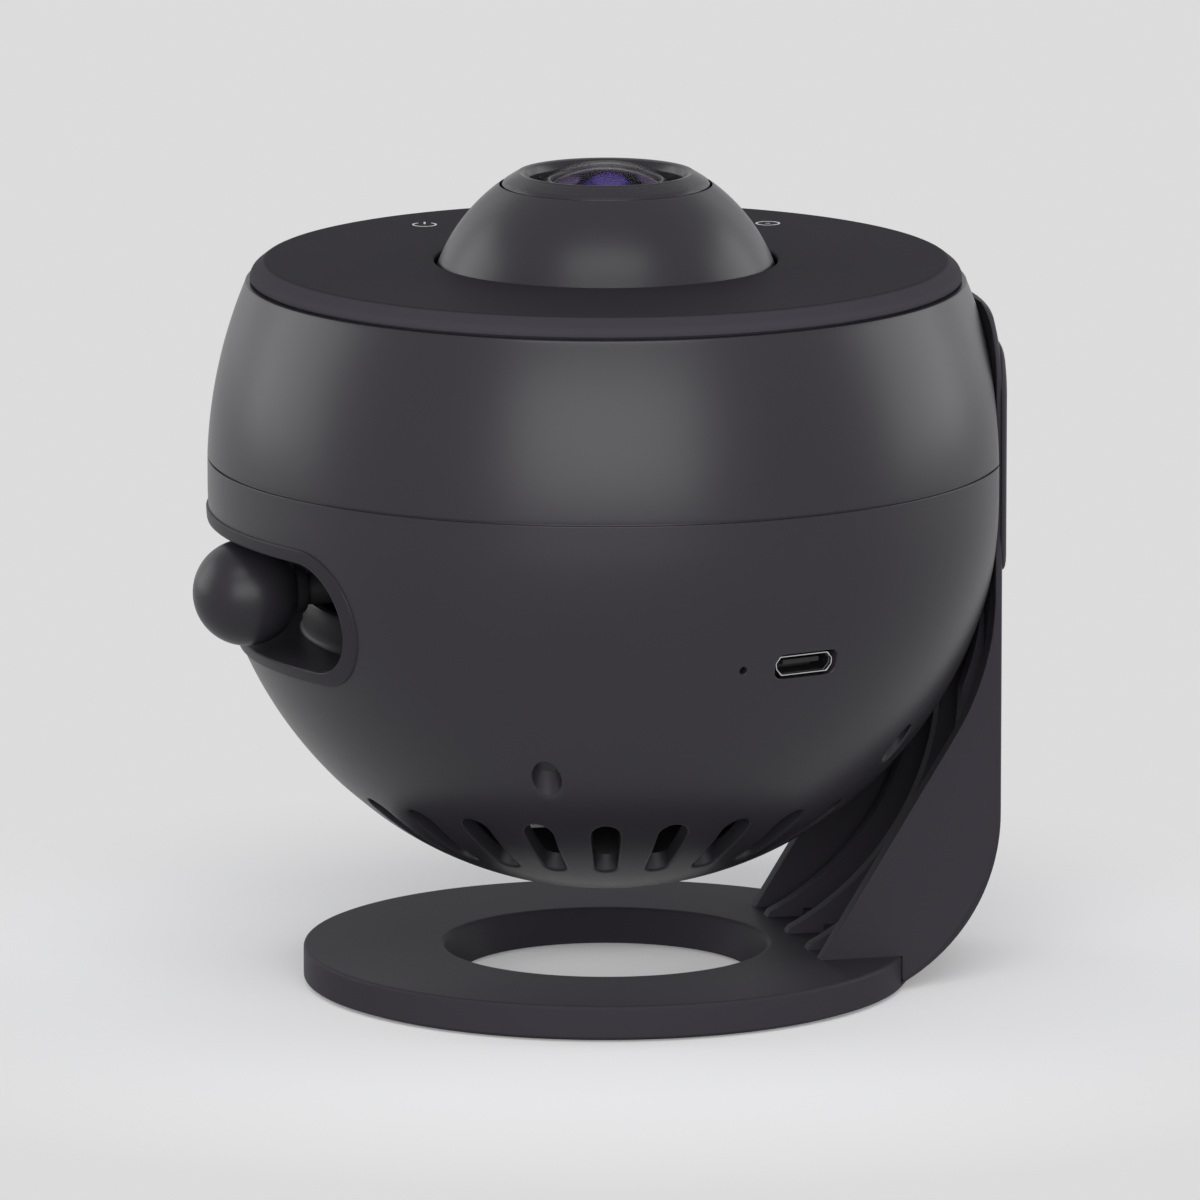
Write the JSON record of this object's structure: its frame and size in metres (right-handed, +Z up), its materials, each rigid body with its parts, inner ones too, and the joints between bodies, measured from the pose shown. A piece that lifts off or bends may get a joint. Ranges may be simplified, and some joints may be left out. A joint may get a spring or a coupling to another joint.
{
  "type": "planetarium projector",
  "caption": "Small star projector: a bowl-shaped head with a domed lens on top, a focus lever in a side recess, tilting on a ribbed arm that rises from a flat ring base",
  "frame": {"origin": "centre of the ring base, on the surface it stands on", "axes": "+Z is up along the head's axis at rest, +X points from the head's axis to the arm, and the head tilts about an axis along X"},
  "size_m": [0.1041, 0.1002, 0.1045],
  "materials": {
    "shell_plastic": "fine matte texture",
    "pale_plastic": "smooth, unpainted",
    "foot_rubber": "soft matte",
    "lens_glass": "polished and coated",
    "steel": "plated",
    "aluminium": "cast and bare",
    "brass": "turned",
    "circuit_board": "lacquered",
    "film": "smooth film"
  },
  "bodies": {
    "stand": {"base_ring": "shell_plastic", "foot_pad": "foot_rubber", "stand_arm": "shell_plastic", "arm_screws": "steel", "hinge_cover": "shell_plastic", "pivot_shaft": "steel", "pivot_screws": "steel", "friction_washer": "pale_plastic", "spring_washer": "steel", "pivot_nut": "steel"},
    "head": {"lower_shell": "shell_plastic", "upper_shell": "shell_plastic", "top_cover": "shell_plastic", "hub_plate": "pale_plastic", "hub_screws": "steel", "lever_recess": "shell_plastic", "dome": "shell_plastic", "guide_tube": "shell_plastic", "guide_screws": "steel", "cam_retainer": "pale_plastic", "touch_board": "circuit_board", "main_board": "circuit_board", "board_screws": "steel", "inlet_socket": "steel", "heat_sink": "aluminium", "led_module": "pale_plastic", "lamp_housing": "shell_plastic", "condenser_lens": "lens_glass", "lamp_screws": "steel", "motor": "steel", "shell_screws": "steel"},
    "lens": {"lens_barrel": "shell_plastic", "lens_bezel": "shell_plastic", "front_lens": "lens_glass", "rear_lens": "lens_glass", "cam_pins": "brass"},
    "lever": {"cam_ring": "pale_plastic", "lever_arm": "steel", "lever_screws": "steel", "lever_knob": "shell_plastic"},
    "disc": {"disc_carrier": "pale_plastic", "film_disc": "film"},
    "pinion": {"motor_pinion": "brass"}
  },
  "joints": [
    {"name": "head_tilt", "type": "hinge", "parent": "stand", "child": "head", "pos_m": [0, 0, 0.0676], "axis": [1, 0, 0], "range_deg": [-90, 90]},
    {"name": "focus_turn", "type": "hinge", "parent": "head", "child": "lever", "pos_m": [0, 0, 0.0676], "axis": [0, 0, 1], "range_deg": [-21, 21]},
    {"name": "lens_focus", "type": "slide", "parent": "head", "child": "lens", "axis": [0, 0, 1], "range_m": [-0.0013, 0.0013]},
    {"name": "disc_spin", "type": "hinge", "parent": "head", "child": "disc", "pos_m": [0, 0, 0.0656], "axis": [0, 0, 1], "continuous": true},
    {"name": "pinion_spin", "type": "hinge", "parent": "head", "child": "pinion", "pos_m": [0.00543, 0.02028, 0.0656], "axis": [0, 0, 1], "continuous": true}
  ],
  "couplings": [
    {"joint": "lens_focus", "follows": "focus_turn", "m_per_rad": 0.0031},
    {"joint": "pinion_spin", "follows": "disc_spin", "ratio": -6}
  ]
}
